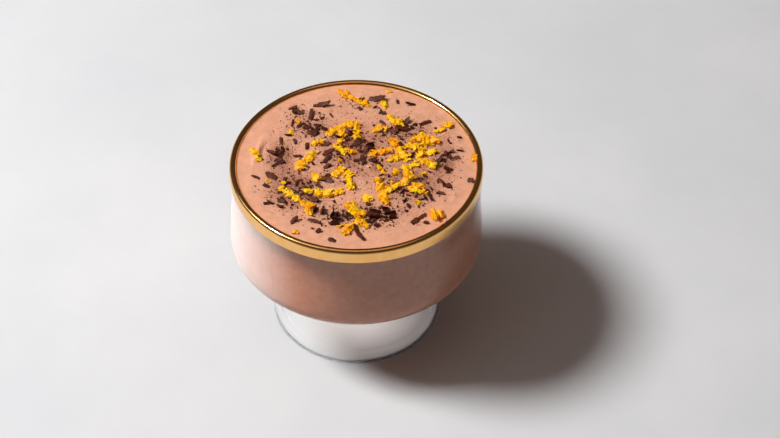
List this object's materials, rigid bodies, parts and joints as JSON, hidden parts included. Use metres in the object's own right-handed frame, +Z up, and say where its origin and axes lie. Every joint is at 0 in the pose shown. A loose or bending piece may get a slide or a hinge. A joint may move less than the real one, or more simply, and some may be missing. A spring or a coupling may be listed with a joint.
{
  "type": "chocolate mousse",
  "caption": "Chocolate mousse filling a clear footed dessert glass with a gold rim, level almost to the lip.",
  "frame": {"origin": "centre of the ring that the foot stands on", "axes": "+Z up through the middle of the glass, -Y towards the viewer, +X to the viewer's right"},
  "size_m": [0.0918, 0.0918, 0.073],
  "materials": {
    "clear_glass": "clear pressed glass, polished",
    "gold": "fired gold lustre with a soft shine",
    "mousse": "smooth airy chocolate mousse, matte with a faint moist sheen",
    "dark_chocolate": "shaved dark chocolate, satin on the cut faces",
    "orange_zest": "fresh orange zest, slightly moist"
  },
  "bodies": {
    "root": {"glass": "clear_glass", "gold_rim": "gold", "mousse": "mousse"}
  },
  "joints": []
}
